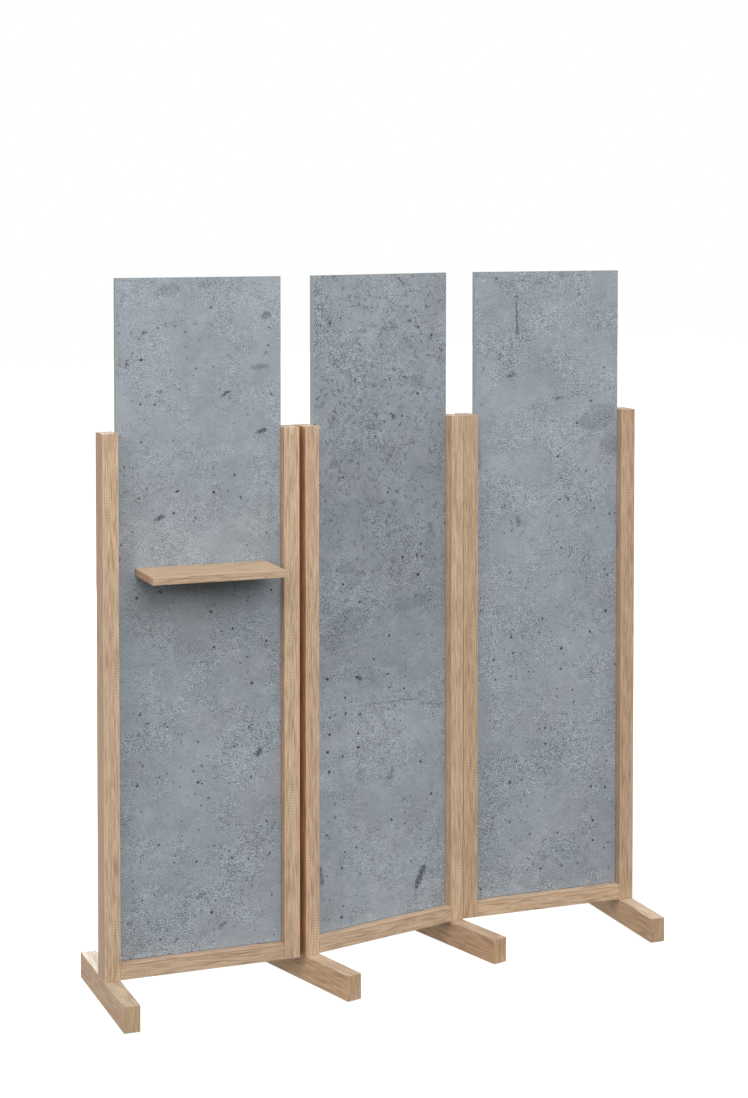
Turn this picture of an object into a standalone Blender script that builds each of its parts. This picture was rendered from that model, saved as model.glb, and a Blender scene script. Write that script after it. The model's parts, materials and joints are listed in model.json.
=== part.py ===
"""Folding partition wall: three hinged screens with oak frames, grey boards, cross feet and a shelf.

Metres, +Z up. The middle screen stands along X, centred over the origin, with its front towards -Y.
The left screen turns on the middle screen's back left edge and the right screen on its front right
edge. Both stand folded by FOLD_ANGLE from the straight wall, so the wall makes a flat Z in plan.
"""

from math import pi, radians

import bmesh
import bpy

# Frame of one screen
POST_WIDTH = 0.040
POST_DEPTH = 0.065
CLEAR_WIDTH = 0.422             # between the two posts
FRAME_BOTTOM = 0.067            # underside of the rails, and of the posts that have no foot
POST_TOP = 1.401
RAIL_HEIGHT = 0.039
BOARD_THICKNESS = 0.016
BOARD_TOP = 1.775
GAP = 0.0003                    # between pieces that touch
WOOD_BEVEL = 0.0008
BOARD_BEVEL = 0.0005

# Feet, their glides and their bolts
FOOT_TOP = 0.066
FOOT_LENGTH = 0.422
GLIDE_HEIGHT = 0.002
GLIDE_RADIUS = 0.014
GLIDE_STEM_RADIUS = 0.002
GLIDE_STEM_LENGTH = 0.012
GLIDE_EDGE = 0.0003             # chamfer round the disc
GLIDE_INSET = 0.030             # from the foot's end to the glide's centre
BOLT_SPREAD = 0.018             # each side of the post's centre
BOLT_RADIUS = 0.004
BOLT_HEAD_RADIUS = 0.0065
BOLT_HEAD_HEIGHT = 0.005
BOLT_HEAD_BOTTOM = 0.009
BOLT_TOP = 0.106
BOLT_TIP = 0.25                 # chamfers, as shares of the radius they are on
BOLT_HEAD_EDGE = 0.1
COUNTERBORE_RADIUS = 0.0075

# Hidden joinery
DOWEL_RADIUS = 0.005
DOWEL_LENGTH = 0.040
DOWEL_CHAMFER = 0.001
SPLINE_THICKNESS = 0.004
SPLINE_WIDTH = 0.0150
SPLINE_BOTTOM = 0.125
SPLINE_TOP = 1.380
BLIND_END = 0.0008              # free space past the end of a dowel, spline, bolt or screw

# Shelf on the left screen's board
SHELF_WIDTH = 0.334
SHELF_DEPTH = 0.160
SHELF_THICKNESS = 0.018
SHELF_TOP = 1.069
SHELF_SHIFT = 0.0025            # to the right of the board's middle
SHELF_SCREW_SPREAD = 0.110      # each side of the shelf's middle
SHELF_SCREW_RADIUS = 0.0022
SHELF_SCREW_HEAD_RADIUS = 0.0045
SHELF_SCREW_HEAD_HEIGHT = 0.0025
SHELF_SCREW_BITE = 0.034        # length inside the shelf

# Hinges
FOLD_ANGLE = radians(15)
SEAM = 0.001                    # between the facing posts when the wall is straight
HINGE_LEVELS = {"lower": 0.250, "upper": 1.200}
HINGE_LENGTH = 0.060
KNUCKLE_RADIUS = 0.0025
KNUCKLE_COUNT = 3
KNUCKLE_PLAY = 0.0002           # along the pin, each side of a knuckle
KNUCKLE_CLEARANCE = 0.0005      # around a knuckle, in the other leaf's notch
PIN_RADIUS = 0.00125
PIN_CLEARANCE = 0.00008
PIN_HEAD_HEIGHT = 0.0012
PIN_TAIL = 0.0004
PIN_CROWN = 0.7                 # flat share of the radius at the pin's two ends
GROOVE_LENGTH = HINGE_LENGTH + 0.006    # of the groove in both posts that clears knuckles and pin
LEAF_WIDTH = 0.022              # from the pin's axis to the leaf's far edge
LEAF_THICKNESS = 0.0015
LEAF_SCREW_RADIUS = 0.0015
LEAF_SCREW_LENGTH = 0.022
LEAF_SCREWS = ((-0.020, 0.010), (0.0, 0.016), (0.020, 0.010))   # height, distance from the pin

# Worked-out sizes
SCREEN_WIDTH = CLEAR_WIDTH + 2 * POST_WIDTH
POST_OFFSET = (CLEAR_WIDTH + POST_WIDTH) / 2
FILL_WIDTH = CLEAR_WIDTH - 2 * GAP
RAIL_TOP = FRAME_BOTTOM + RAIL_HEIGHT
FOOT_BOTTOM = GLIDE_HEIGHT + GAP
HINGE_X = (SCREEN_WIDTH + SEAM) / 2
HINGE_Y = POST_DEPTH / 2

# Finishes: base colour, roughness, metallic
FINISHES = {
    "oak": ((0.47, 0.35, 0.25), 0.50, 0.0),
    "concrete": ((0.30, 0.33, 0.37), 0.62, 0.0),
    "beech": ((0.60, 0.42, 0.26), 0.60, 0.0),
    "bronze": ((0.33, 0.24, 0.17), 0.40, 0.9),
    "zinc": ((0.62, 0.63, 0.65), 0.35, 1.0),
    "glide": ((0.16, 0.14, 0.12), 0.75, 0.0),
}

# Sides of the round pieces
BOLT_SIDES = 14
DOWEL_SIDES = 12
GLIDE_SIDES = 20
STEM_SIDES = 10
KNUCKLE_SIDES = 18
SCREW_SIDES = 8

SMOOTH_ANGLE = radians(50)


def clear_scene():
    """Remove every object, so that the model starts from an empty scene."""
    for obj in list(bpy.data.objects):
        bpy.data.objects.remove(obj, do_unlink=True)


def new_collection(name):
    """Make a collection in the scene."""
    collection = bpy.data.collections.new(name)
    bpy.context.scene.collection.children.link(collection)
    return collection


clear_scene()
PARTS = new_collection("partition_wall")
CUTTERS = new_collection("cutters")


def box_mesh(name, size):
    """A box of the given size, centred on its origin."""
    mesh = bpy.data.meshes.new(name)
    form = bmesh.new()
    bmesh.ops.create_cube(form, size=1.0)
    bmesh.ops.scale(form, vec=size, verts=form.verts)
    form.to_mesh(mesh)
    form.free()
    return mesh


def cylinder_mesh(name, radius, length, sides):
    """A closed cylinder along Z, centred on its origin."""
    mesh = bpy.data.meshes.new(name)
    form = bmesh.new()
    bmesh.ops.create_cone(form, cap_ends=True, segments=sides, radius1=radius, radius2=radius,
                          depth=length)
    form.to_mesh(mesh)
    form.free()
    mesh.shade_smooth()
    mesh.set_sharp_from_angle(angle=SMOOTH_ANGLE)
    return mesh


def profile_mesh(name, profile):
    """An open chain of edges through (radius, height) points, in the XZ plane."""
    points = [(radius, 0.0, height) for radius, height in profile]
    edges = [(index, index + 1) for index in range(len(points) - 1)]
    mesh = bpy.data.meshes.new(name)
    mesh.from_pydata(points, edges, [])
    return mesh


def add_object(name, mesh, collection, parent, location, rotation=(0.0, 0.0, 0.0)):
    """Put a mesh in the scene, under its parent."""
    obj = bpy.data.objects.new(name, mesh)
    collection.objects.link(obj)
    obj.parent = parent
    obj.location = location
    obj.rotation_euler = rotation
    return obj


def add_finish(obj, finish):
    """Give the object a material of its own with one of the FINISHES."""
    color, roughness, metallic = FINISHES[finish]
    material = bpy.data.materials.new(f"{obj.name}_{finish}")
    material.use_nodes = True
    shader = material.node_tree.nodes["Principled BSDF"]
    shader.inputs["Base Color"].default_value = (*color, 1.0)
    shader.inputs["Roughness"].default_value = roughness
    shader.inputs["Metallic"].default_value = metallic
    obj.data.materials.append(material)


def add_part(name, mesh, finish, parent, location, rotation=(0.0, 0.0, 0.0)):
    """One piece of the wall, with its finish."""
    part = add_object(name, mesh, PARTS, parent, location, rotation)
    add_finish(part, finish)
    return part


def add_tool(name, mesh, parent, location, rotation=(0.0, 0.0, 0.0)):
    """A hidden shape that cuts or joins other objects."""
    tool = add_object(name, mesh, CUTTERS, parent, location, rotation)
    tool.hide_render = True
    tool.display_type = "WIRE"
    return tool


def add_bevel(part, width):
    """Round the part's edges slightly."""
    bevel = part.modifiers.new("edge_rounding", "BEVEL")
    bevel.width = width
    bevel.segments = 2
    bevel.limit_method = "ANGLE"


def combine(part, tool, operation):
    """Cut the tool out of the part, or join it on."""
    boolean = part.modifiers.new(tool.name, "BOOLEAN")
    boolean.operation = operation
    boolean.solver = "EXACT"
    boolean.object = tool


def cut(part, tool):
    combine(part, tool, "DIFFERENCE")


def join(part, tool):
    combine(part, tool, "UNION")


def turned_part(name, profile, sides, finish, parent, location, rotation=(0.0, 0.0, 0.0)):
    """A round piece turned about its own Z from a profile that runs from top to bottom."""
    part = add_part(name, profile_mesh(name, profile), finish, parent, location, rotation)
    screw = part.modifiers.new("turning", "SCREW")
    screw.steps = sides
    screw.render_steps = sides
    screw.use_merge_vertices = True
    screw.merge_threshold = 0.0001
    return part


def wood_box(name, size, bevel, finish, parent, location):
    """A board or beam with slightly rounded edges."""
    part = add_part(name, box_mesh(name, size), finish, parent, location)
    add_bevel(part, bevel)
    return part


def dowel_profile(radius, length):
    """A rod with chamfered ends, centred on its origin."""
    half = length / 2
    flat = radius - DOWEL_CHAMFER
    return [(0.0, half), (flat, half), (radius, half - DOWEL_CHAMFER),
            (radius, DOWEL_CHAMFER - half), (flat, -half), (0.0, -half)]


def bolt_profile(radius, top, head_radius, head_top, head_bottom):
    """A headed rod that points up, with heights measured from its origin."""
    chamfer = BOLT_TIP * radius
    head_chamfer = BOLT_HEAD_EDGE * head_radius
    return [(0.0, top), (radius - chamfer, top), (radius, top - chamfer), (radius, head_top),
            (head_radius, head_top), (head_radius, head_bottom + head_chamfer),
            (head_radius - head_chamfer, head_bottom), (0.0, head_bottom)]


def add_post(screen, side, has_foot, frame, place):
    """One upright of a screen. side is -1 on the screen's left and 1 on its right."""
    word = "left" if side < 0 else "right"
    bottom = FOOT_TOP + GAP if has_foot else FRAME_BOTTOM
    size = (POST_WIDTH, POST_DEPTH, POST_TOP - bottom)
    location = (place[0] + side * POST_OFFSET, place[1], (POST_TOP + bottom) / 2)
    return wood_box(f"{screen}_{word}_post", size, WOOD_BEVEL, "oak", frame, location)


def add_rail_dowel(screen, side, post, rail, frame, place):
    """The hidden dowel that holds one end of the rail in its post."""
    word = "left" if side < 0 else "right"
    name = f"{screen}_{word}_rail_dowel"
    location = (place[0] + side * CLEAR_WIDTH / 2, place[1], (FRAME_BOTTOM + RAIL_TOP) / 2)
    turn = (0.0, pi / 2, 0.0)
    turned_part(name, dowel_profile(DOWEL_RADIUS, DOWEL_LENGTH), DOWEL_SIDES, "beech", frame, location, turn)
    hole = cylinder_mesh(f"{name}_hole", DOWEL_RADIUS + GAP, DOWEL_LENGTH + 2 * BLIND_END, DOWEL_SIDES)
    tool = add_tool(f"{name}_hole", hole, frame, location, turn)
    cut(post, tool)
    cut(rail, tool)


def add_spline(screen, side, post, board, frame, place):
    """The hidden loose tongue that runs up one edge of the board, half in the post."""
    word = "left" if side < 0 else "right"
    name = f"{screen}_{word}_spline"
    height = SPLINE_TOP - SPLINE_BOTTOM
    location = (place[0] + side * CLEAR_WIDTH / 2, place[1], (SPLINE_TOP + SPLINE_BOTTOM) / 2)
    size = (SPLINE_WIDTH, SPLINE_THICKNESS, height)
    add_part(name, box_mesh(name, size), "beech", frame, location)
    room = (SPLINE_WIDTH + 2 * BLIND_END, SPLINE_THICKNESS + 2 * GAP, height + 2 * BLIND_END)
    tool = add_tool(f"{name}_groove", box_mesh(f"{name}_groove", room), frame, location)
    cut(post, tool)
    cut(board, tool)


def add_foot_bolt(name, foot, post, frame, location):
    """A bolt from the foot's underside up into the end grain of the post."""
    head_top = BOLT_HEAD_BOTTOM + BOLT_HEAD_HEIGHT
    profile = bolt_profile(BOLT_RADIUS, BOLT_TOP, BOLT_HEAD_RADIUS, head_top, BOLT_HEAD_BOTTOM)
    turned_part(name, profile, BOLT_SIDES, "zinc", frame, location)

    hole_length = BOLT_TOP + BLIND_END
    shaft = cylinder_mesh(f"{name}_hole", BOLT_RADIUS + GAP, hole_length, BOLT_SIDES)
    hole = add_tool(f"{name}_hole", shaft, frame, (location[0], location[1], hole_length / 2))
    cut(foot, hole)
    cut(post, hole)

    mouth_length = 2 * (head_top + GAP)
    counterbore = cylinder_mesh(f"{name}_mouth", COUNTERBORE_RADIUS, mouth_length, BOLT_SIDES)
    cut(foot, add_tool(f"{name}_mouth", counterbore, frame, (location[0], location[1], 0.0)))


def add_glide(name, foot, frame, location):
    """A felt-faced nail glide under one end of a foot."""
    stem_top = GLIDE_HEIGHT + GLIDE_STEM_LENGTH
    profile = [(0.0, stem_top), (GLIDE_STEM_RADIUS, stem_top - GLIDE_STEM_RADIUS),
               (GLIDE_STEM_RADIUS, GLIDE_HEIGHT), (GLIDE_RADIUS - GLIDE_EDGE, GLIDE_HEIGHT),
               (GLIDE_RADIUS, GLIDE_HEIGHT - GLIDE_EDGE), (GLIDE_RADIUS, GLIDE_EDGE),
               (GLIDE_RADIUS - GLIDE_EDGE, 0.0), (0.0, 0.0)]
    turned_part(name, profile, GLIDE_SIDES, "glide", frame, location)
    hole_length = 2 * (stem_top + BLIND_END)
    hole = cylinder_mesh(f"{name}_hole", GLIDE_STEM_RADIUS + GAP, hole_length, STEM_SIDES)
    cut(foot, add_tool(f"{name}_hole", hole, frame, location))


def add_foot(screen, side, post, frame, place):
    """The cross foot under one post, with its two glides and two bolts."""
    word = "left" if side < 0 else "right"
    name = f"{screen}_{word}_foot"
    x = place[0] + side * POST_OFFSET
    size = (POST_WIDTH, FOOT_LENGTH, FOOT_TOP - FOOT_BOTTOM)
    foot = wood_box(name, size, WOOD_BEVEL, "oak", frame, (x, place[1], (FOOT_TOP + FOOT_BOTTOM) / 2))
    reach = FOOT_LENGTH / 2 - GLIDE_INSET
    for end, direction in (("front", -1), ("back", 1)):
        add_foot_bolt(f"{name}_{end}_bolt", foot, post, frame, (x, place[1] + direction * BOLT_SPREAD, 0.0))
        add_glide(f"{name}_{end}_glide", foot, frame, (x, place[1] + direction * reach, 0.0))


def add_screen(screen, frame, place, foot_sides):
    """Posts, rail, board and joinery of one screen. place is its centre in its frame."""
    middle_depth = place[1]
    rail = wood_box(f"{screen}_rail", (FILL_WIDTH, POST_DEPTH, RAIL_HEIGHT), WOOD_BEVEL, "oak", frame,
                    (place[0], middle_depth, (FRAME_BOTTOM + RAIL_TOP) / 2))
    board_bottom = RAIL_TOP + GAP
    board = wood_box(f"{screen}_board", (FILL_WIDTH, BOARD_THICKNESS, BOARD_TOP - board_bottom),
                     BOARD_BEVEL, "concrete", frame,
                     (place[0], middle_depth, (BOARD_TOP + board_bottom) / 2))
    posts = {}
    for side in (-1, 1):
        posts[side] = add_post(screen, side, side in foot_sides, frame, place)
        add_rail_dowel(screen, side, posts[side], rail, frame, place)
        add_spline(screen, side, posts[side], board, frame, place)
        if side in foot_sides:
            add_foot(screen, side, posts[side], frame, place)
    return posts, board


def add_shelf(board, frame, place):
    """The shelf in front of a board, held by two screws through the board from behind."""
    front = place[1] - BOARD_THICKNESS / 2 - GAP
    middle = place[0] + SHELF_SHIFT
    centre = (middle, front - SHELF_DEPTH / 2, SHELF_TOP - SHELF_THICKNESS / 2)
    shelf = wood_box("shelf", (SHELF_WIDTH, SHELF_DEPTH, SHELF_THICKNESS), WOOD_BEVEL, "oak", frame,
                     centre)
    back = place[1] + BOARD_THICKNESS / 2 + GAP
    length = back - front + SHELF_SCREW_BITE
    profile = bolt_profile(SHELF_SCREW_RADIUS, length, SHELF_SCREW_HEAD_RADIUS, 0.0,
                           -SHELF_SCREW_HEAD_HEIGHT)
    towards_front = (pi / 2, 0.0, 0.0)
    for word, side in (("left", -1), ("right", 1)):
        name = f"shelf_{word}_screw"
        location = (middle + side * SHELF_SCREW_SPREAD, back, centre[2])
        screw = turned_part(name, profile, BOLT_SIDES, "zinc", frame, location, towards_front)
        hole_length = length + BLIND_END
        hole = cylinder_mesh(f"{name}_hole", SHELF_SCREW_RADIUS + GAP, hole_length, BOLT_SIDES)
        tool = add_tool(f"{name}_hole", hole, screw, (0.0, 0.0, hole_length / 2))
        cut(board, tool)
        cut(shelf, tool)


def notch_leaf(leaf, first):
    """Cut away every other knuckle of a leaf, from the given one, where the other leaf's sit."""
    step = HINGE_LENGTH / KNUCKLE_COUNT
    room = 2 * (KNUCKLE_RADIUS + KNUCKLE_CLEARANCE)
    for knuckle in range(first, KNUCKLE_COUNT, 2):
        height = (knuckle + 0.5) * step - HINGE_LENGTH / 2
        notch = box_mesh(f"{leaf.name}_notch_{knuckle}", (room, room, step + 2 * KNUCKLE_PLAY))
        cut(leaf, add_tool(notch.name, notch, leaf, (0.0, 0.0, height)))


def let_leaf_into_post(leaf, post):
    """Cut the mortise for the plate and the groove that clears knuckles and pin."""
    depth = SEAM / 2 + LEAF_THICKNESS + GAP
    length = LEAF_WIDTH + GAP
    mortise = box_mesh(f"{leaf.name}_mortise", (2 * depth, length, HINGE_LENGTH + 2 * GAP))
    cut(post, add_tool(mortise.name, mortise, leaf, (0.0, -length / 2, 0.0)))
    groove = cylinder_mesh(f"{leaf.name}_groove", KNUCKLE_RADIUS + GAP, GROOVE_LENGTH, KNUCKLE_SIDES)
    cut(post, add_tool(groove.name, groove, leaf, (0.0, 0.0, 0.0)))


def add_leaf_screws(leaf, side, post):
    """Join the screws to the leaf and drill their holes in the post."""
    start = (SEAM + LEAF_THICKNESS) / 2
    drilled = LEAF_SCREW_LENGTH + BLIND_END
    sideways = (0.0, pi / 2, 0.0)
    for number, (height, distance) in enumerate(LEAF_SCREWS, start=1):
        screw = cylinder_mesh(f"{leaf.name}_screw_{number}", LEAF_SCREW_RADIUS, LEAF_SCREW_LENGTH,
                              SCREW_SIDES)
        centre = side * (start + LEAF_SCREW_LENGTH / 2)
        join(leaf, add_tool(screw.name, screw, leaf, (centre, -distance, height), sideways))
        hole = cylinder_mesh(f"{leaf.name}_hole_{number}", LEAF_SCREW_RADIUS + GAP, drilled, SCREW_SIDES)
        centre = side * (start + drilled / 2)
        cut(post, add_tool(hole.name, hole, leaf, (centre, -distance, height), sideways))


def add_leaf(name, side, first_notch, post, parent, location, turn):
    """One hinge leaf, on the given side of the pin, with its plate towards -Y before the turn."""
    barrel = cylinder_mesh(name, KNUCKLE_RADIUS, HINGE_LENGTH, KNUCKLE_SIDES)
    leaf = add_part(name, barrel, "bronze", parent, location, (0.0, 0.0, turn))

    near_edge = KNUCKLE_RADIUS / 2
    plate = box_mesh(f"{name}_plate", (LEAF_THICKNESS, LEAF_WIDTH - near_edge, HINGE_LENGTH))
    plate_x = side * (SEAM + LEAF_THICKNESS) / 2
    join(leaf, add_tool(plate.name, plate, leaf, (plate_x, -(LEAF_WIDTH + near_edge) / 2, 0.0)))
    bore = cylinder_mesh(f"{name}_bore", PIN_RADIUS + PIN_CLEARANCE, 2 * HINGE_LENGTH, KNUCKLE_SIDES)
    cut(leaf, add_tool(bore.name, bore, leaf, (0.0, 0.0, 0.0)))

    notch_leaf(leaf, first_notch)
    let_leaf_into_post(leaf, post)
    add_leaf_screws(leaf, side, post)


def add_hinges(junction, middle_frame, side_frame, middle_post, side_post, x, y, turn):
    """The butt hinges of one junction: a leaf on each post and the pin between them."""
    half = HINGE_LENGTH / 2
    shoulder = half + KNUCKLE_PLAY
    pin_profile = [(0.0, shoulder + PIN_HEAD_HEIGHT),
                   (PIN_CROWN * KNUCKLE_RADIUS, shoulder + PIN_HEAD_HEIGHT),
                   (KNUCKLE_RADIUS, shoulder + PIN_HEAD_HEIGHT / 2),
                   (KNUCKLE_RADIUS, shoulder),
                   (PIN_RADIUS, shoulder),
                   (PIN_RADIUS, -half),
                   (PIN_CROWN * PIN_RADIUS, -half - PIN_TAIL),
                   (0.0, -half - PIN_TAIL)]
    for level, height in HINGE_LEVELS.items():
        name = f"{junction}_{level}_hinge"
        add_leaf(f"{name}_fixed_leaf", 1, 1, middle_post, middle_frame, (x, y, height), turn)
        add_leaf(f"{name}_swing_leaf", -1, 0, side_post, side_frame, (0.0, 0.0, height), turn)
        turned_part(f"{name}_pin", pin_profile, KNUCKLE_SIDES, "bronze", middle_frame, (x, y, height))


def add_frame(name, location, turn):
    """The empty that carries one screen. Its origin is on the screen's joint axis."""
    frame = bpy.data.objects.new(name, None)
    PARTS.objects.link(frame)
    frame.location = location
    frame.rotation_euler = (0.0, 0.0, turn)
    return frame


middle_frame = add_frame("middle_screen_frame", (0.0, 0.0, 0.0), 0.0)
left_frame = add_frame("left_screen_frame", (-HINGE_X, HINGE_Y, 0.0), -FOLD_ANGLE)
right_frame = add_frame("right_screen_frame", (HINGE_X, -HINGE_Y, 0.0), -FOLD_ANGLE)

left_place = (-HINGE_X, -HINGE_Y)
right_place = (HINGE_X, HINGE_Y)
middle_posts, _ = add_screen("middle_screen", middle_frame, (0.0, 0.0), (-1, 1))
left_posts, left_board = add_screen("left_screen", left_frame, left_place, (-1,))
right_posts, _ = add_screen("right_screen", right_frame, right_place, (1,))

add_shelf(left_board, left_frame, left_place)
add_hinges("left", middle_frame, left_frame, middle_posts[-1], left_posts[1], -HINGE_X, HINGE_Y, 0.0)
add_hinges("right", middle_frame, right_frame, middle_posts[1], right_posts[-1], HINGE_X, -HINGE_Y, pi)
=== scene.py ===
"""Looks of the folding partition wall: oak decor frames, concrete decor boards, a shelf and its hardware.

Metres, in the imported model's own frame: the middle screen stands along X with its front towards -Y.
The wood and the boards are the CAD nodes with procedural decors. The fasteners get their recesses
here, and the hinge leaves their countersunk screws.
"""

import json
from math import cos, pi, radians, sin, sqrt

import bmesh
import bpy
from mathutils import Matrix, Vector

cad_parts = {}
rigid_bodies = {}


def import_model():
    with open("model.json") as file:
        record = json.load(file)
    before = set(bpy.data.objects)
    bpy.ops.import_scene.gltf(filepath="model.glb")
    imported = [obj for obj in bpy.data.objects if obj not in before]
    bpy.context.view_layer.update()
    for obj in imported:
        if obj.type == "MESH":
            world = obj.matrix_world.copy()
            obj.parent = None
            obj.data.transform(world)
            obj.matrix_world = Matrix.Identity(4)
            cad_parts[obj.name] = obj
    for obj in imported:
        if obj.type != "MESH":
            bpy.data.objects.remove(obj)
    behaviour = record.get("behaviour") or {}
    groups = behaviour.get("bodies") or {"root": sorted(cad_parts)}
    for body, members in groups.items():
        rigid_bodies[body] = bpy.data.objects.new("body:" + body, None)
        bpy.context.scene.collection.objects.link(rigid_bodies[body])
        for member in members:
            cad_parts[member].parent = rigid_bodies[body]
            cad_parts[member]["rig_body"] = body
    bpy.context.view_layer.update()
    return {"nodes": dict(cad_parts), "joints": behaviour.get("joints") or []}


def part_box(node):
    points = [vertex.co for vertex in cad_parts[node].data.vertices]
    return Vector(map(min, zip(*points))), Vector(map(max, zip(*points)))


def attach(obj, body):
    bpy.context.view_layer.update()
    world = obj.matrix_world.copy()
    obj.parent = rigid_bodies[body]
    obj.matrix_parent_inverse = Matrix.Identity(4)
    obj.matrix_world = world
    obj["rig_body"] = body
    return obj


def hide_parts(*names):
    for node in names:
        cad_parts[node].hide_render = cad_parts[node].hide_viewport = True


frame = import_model()

# The wall's folds
FOLD_ANGLE = radians(15)
SIDE_SCREENS = ("left_screen", "right_screen")

# Camera
LENS = 73.92
SHIFT_UP = -0.23
CAMERA_PLACE = (-3.4200, -4.6358, 1.9524)
CAMERA_TURN = (radians(90 - 2.336), 0.0, radians(-36.28))

# Studio. The dome is (height in the dome from 0 at the bottom to 1 at the top, strength)
DOME = ((0.0, 0.0), (0.47, 0.03), (0.50, 0.35), (0.62, 1.0), (1.0, 1.60))
SOFTBOX_SIZE = 2.0
SOFTBOX_AIM = Vector((0.0, 0.0, 0.9))
SOFTBOXES = {
    "key": ((-3.0, -5.0, 3.5), 139.0),
    "side_fill": ((-5.0, -0.5, 3.0), 80.0),
    "top_fill": ((-1.0, -3.5, 4.5), 54.0),
    "back_fill": ((2.0, 5.5, 1.2), 150.0),
}

FLOOR_COLOUR = (0.20, 0.20, 0.20)
FLOOR_GLOW = 0.88

# Colours, linear
OAK_PALE = (0.545, 0.395, 0.268)
OAK_MIDDLE = (0.437, 0.305, 0.196)
OAK_DARK = (0.280, 0.180, 0.108)
OAK_SAW_MARK = (0.620, 0.470, 0.330)
OAK_PORE = (0.190, 0.115, 0.066)
# painted shade of the dark lines in the seam between screens and below a rail's top
OAK_SHADE_LINE = (0.340, 0.226, 0.140)
CONCRETE_WARM = (0.265, 0.290, 0.314)
CONCRETE_COOL = (0.256, 0.287, 0.319)
BOARD_EDGE = (0.268, 0.298, 0.288)
LACQUER = (0.400, 0.275, 0.180)
LACQUER_WORN = (0.52, 0.43, 0.34)
ZINC_DARK = (0.42, 0.43, 0.44)
ZINC_PALE = (0.54, 0.55, 0.57)
ZINC_DULL = (0.32, 0.32, 0.32)
BEECH_DARK = (0.50, 0.32, 0.18)
BEECH_PALE = (0.68, 0.49, 0.31)
BEECH_RAY = (0.30, 0.16, 0.08)
FELT_DARK = (0.045, 0.037, 0.030)
FELT_PALE = (0.135, 0.112, 0.092)
FELT_LINT = (0.30, 0.27, 0.24)

# Decors. A noise's scale is in cells for each metre
SURFACE_GRAIN = 0.0002          # height of the relief
FACING = (0.6, 0.8)             # a face counts as facing an axis between these two cosines
RING_WIDTH = 0.0065
RING_DISTANCE = 0.055           # of the tree's axis from a piece's middle
RING_LEAN = 0.045
RING_WANDER = 0.020
SAW_PITCH = 0.0068
ARRIS_LIGHT_AND_SHADE_LINE = (0.0026, 0.0014)   # how far in from an edge the painted highlight and shade line along it begins, and is full
LEDGE_SHADE_LINE = (0.0050, 0.0038, 0.0016, 0.0008)   # painted shade line below a rail's top: begins, is full, fades, ends
GAP_DEPTH = 0.028               # how far the gap's shade deepens behind the front
BACK_OFFSET = 3.1               # the back of a board shows the decor this far along
BANDING = (0.0012, 0.0006)      # thickness of a board's edge banding: begins, is full
FRAME_SHADE_LINE = (0.0036, 0.0016)   # width of the painted contact shadow where a board enters its frame

# Hinge leaves
LEAF_FACE = 0.0005              # from the pin's axis to a leaf's face
LEAF_SCREWS = ((-0.020, 0.010), (0.0, 0.016), (0.020, 0.010))   # height, distance from the pin

# Foot bolts and shelf screws. A shank is where its thread begins below the head's top
BOLT_RADIUS = 0.0040
BOLT_CORE = 0.0034
BOLT_PITCH = 0.00125
BOLT_SHANK = 0.0300
SCREW_RADIUS = 0.0021
SCREW_CORE = 0.0014
SCREW_PITCH = 0.0016
SCREW_SHANK = 0.0140

# Round and cut forms
FASTENER_SIDES = 24
LEAF_SCREW_SIDES = 28
FIRST_CORNER = 0.3              # turn of the first corner, in sides, so that no corner lies on an axis
SMOOTH_UP_TO = radians(35)
CUT_WELD = 0.00001              # corners nearer than this are joined after a cut


def screen_space(screen):
    """The matrix from the row frame to a screen's own frame, which is centred on the screen."""
    if screen not in SIDE_SCREENS:
        return Matrix.Identity(4)
    joint = next(joint for joint in frame["joints"] if joint["child"] == screen)
    hinge = Vector(joint["pos_m"])
    straighten = Matrix.Rotation(FOLD_ANGLE, 4, "Z")
    return Matrix.Translation((-hinge.x, hinge.y, 0.0)) @ straighten @ Matrix.Translation(-hinge)


def screen_of(node):
    """The screen, and so the body, that a CAD node belongs to."""
    return frame["nodes"][node]["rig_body"]


def local_box(node):
    """Lowest and highest corner of a CAD node, and its screen's matrix, all in the screen's frame."""
    space = screen_space(screen_of(node))
    points = [space @ vertex.co for vertex in frame["nodes"][node].data.vertices]
    low = Vector(min(point[axis] for point in points) for axis in range(3))
    high = Vector(max(point[axis] for point in points) for axis in range(3))
    return low, high, space


def set_stops(ramp, stops):
    """Give a colour ramp its (position, colour) pairs."""
    elements = ramp.color_ramp.elements
    while len(elements) < len(stops):
        elements.new(1.0)
    for element, (position, colour) in zip(elements, stops):
        element.position = position
        element.color = (*colour, 1.0)


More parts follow.
